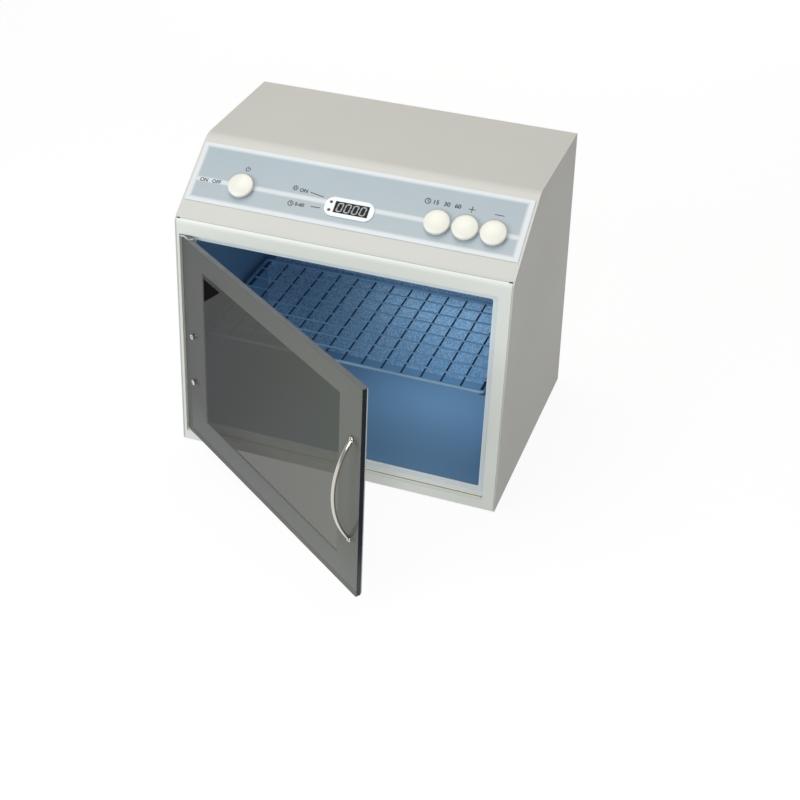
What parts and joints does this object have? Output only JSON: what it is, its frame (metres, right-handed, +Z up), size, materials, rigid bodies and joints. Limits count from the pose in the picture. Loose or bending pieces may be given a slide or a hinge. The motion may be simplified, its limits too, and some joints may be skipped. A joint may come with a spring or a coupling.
{
  "type": "ultraviolet instrument storage cabinet",
  "caption": "Tabletop ultraviolet cabinet for sterile instruments: sloping push-button panel, smoked glass door with bow handle, wire shelf and lamp inside.",
  "frame": {"origin": "middle of the housing's footprint, on the surface that the feet stand on", "axes": "X to the right seen from the front, Y to the back, Z up; the door is hinged at the left and stands 36 degrees open"},
  "size_m": [0.4, 0.5367, 0.375],
  "materials": {
    "housing_paint": "fine smooth warm light grey paint",
    "frame_paint": "smooth pale grey paint",
    "liner_steel": "satin sheet that takes the lamp's blue light",
    "zinc_steel": "dull zinc-plated sheet",
    "bright_metal": "polished",
    "smoked_glass": "smoked grey float glass with ground edges",
    "lamp_glass": "clear lamp tube",
    "rubber": "black, matt",
    "seal": "soft pale grey",
    "panel_film": "pale blue film with white fields",
    "white_plastic": "warm white",
    "dark_plastic": "black",
    "board_green": "green circuit board",
    "lens_red": "dark red lens"
  },
  "bodies": {
    "cabinet": {"housing_shell": "housing_paint", "back_panel": "housing_paint", "front_frame": "frame_paint", "base_tray": "zinc_steel", "foot_front_left": "rubber", "foot_front_right": "rubber", "foot_rear_left": "rubber", "foot_rear_right": "rubber", "door_gasket": "seal", "hinge_bracket_top": "zinc_steel", "hinge_bracket_bottom": "zinc_steel", "hinge_pin_top": "zinc_steel", "hinge_pin_bottom": "zinc_steel", "chamber_liner": "liner_steel", "chamber_support_left": "zinc_steel", "chamber_support_right": "zinc_steel", "shelf_rail_left": "zinc_steel", "shelf_rail_right": "zinc_steel", "lamp_reflector": "bright_metal", "uv_lamp": "lamp_glass", "lamp_cap_left": "zinc_steel", "lamp_cap_right": "zinc_steel", "lamp_holder_left": "white_plastic", "lamp_holder_right": "white_plastic", "control_overlay": "panel_film", "display_bezel": "white_plastic", "display_window": "dark_plastic", "display_module": "dark_plastic", "indicator_1": "lens_red", "indicator_2": "lens_red", "control_board": "board_green", "board_bracket_left": "zinc_steel", "board_bracket_right": "zinc_steel", "ballast": "zinc_steel", "terminal_block": "white_plastic", "power_inlet": "dark_plastic", "fuse_drawer": "dark_plastic", "button_sleeve_1": "dark_plastic", "button_switch_1": "dark_plastic", "button_sleeve_2": "dark_plastic", "button_switch_2": "dark_plastic", "button_sleeve_3": "dark_plastic", "button_switch_3": "dark_plastic", "button_sleeve_4": "dark_plastic", "button_switch_4": "dark_plastic"},
    "door": {"door_glass": "smoked_glass", "door_inner_frame": "frame_paint", "hinge_screw_1": "bright_metal", "hinge_screw_2": "bright_metal", "door_handle": "bright_metal", "handle_screw_1": "bright_metal", "handle_screw_2": "bright_metal"},
    "shelf": {"wire_shelf": "bright_metal"},
    "button_1": {"button_1": "white_plastic"},
    "button_2": {"button_2": "white_plastic"},
    "button_3": {"button_3": "white_plastic"},
    "button_4": {"button_4": "white_plastic"}
  },
  "joints": [
    {"name": "door_hinge", "type": "hinge", "parent": "cabinet", "child": "door", "pos_m": [-0.1905, -0.1505, 0.1525], "axis": [0, 0, -1], "range_deg": [-36, 64]},
    {"name": "button_1_press", "type": "slide", "parent": "cabinet", "child": "button_1", "axis": [0, 0.5817, -0.8134], "range_m": [0, 0.0022], "stiffness_N_per_m": 300, "springref_m": -0.002},
    {"name": "button_2_press", "type": "slide", "parent": "cabinet", "child": "button_2", "axis": [0, 0.5817, -0.8134], "range_m": [0, 0.0022], "stiffness_N_per_m": 300, "springref_m": -0.002},
    {"name": "button_3_press", "type": "slide", "parent": "cabinet", "child": "button_3", "axis": [0, 0.5817, -0.8134], "range_m": [0, 0.0022], "stiffness_N_per_m": 300, "springref_m": -0.002},
    {"name": "button_4_press", "type": "slide", "parent": "cabinet", "child": "button_4", "axis": [0, 0.5817, -0.8134], "range_m": [0, 0.0022], "stiffness_N_per_m": 300, "springref_m": -0.002},
    {"name": "shelf_slide", "type": "slide", "parent": "cabinet", "child": "shelf", "axis": [0, -1, 0], "range_m": [0, 0.014]}
  ]
}
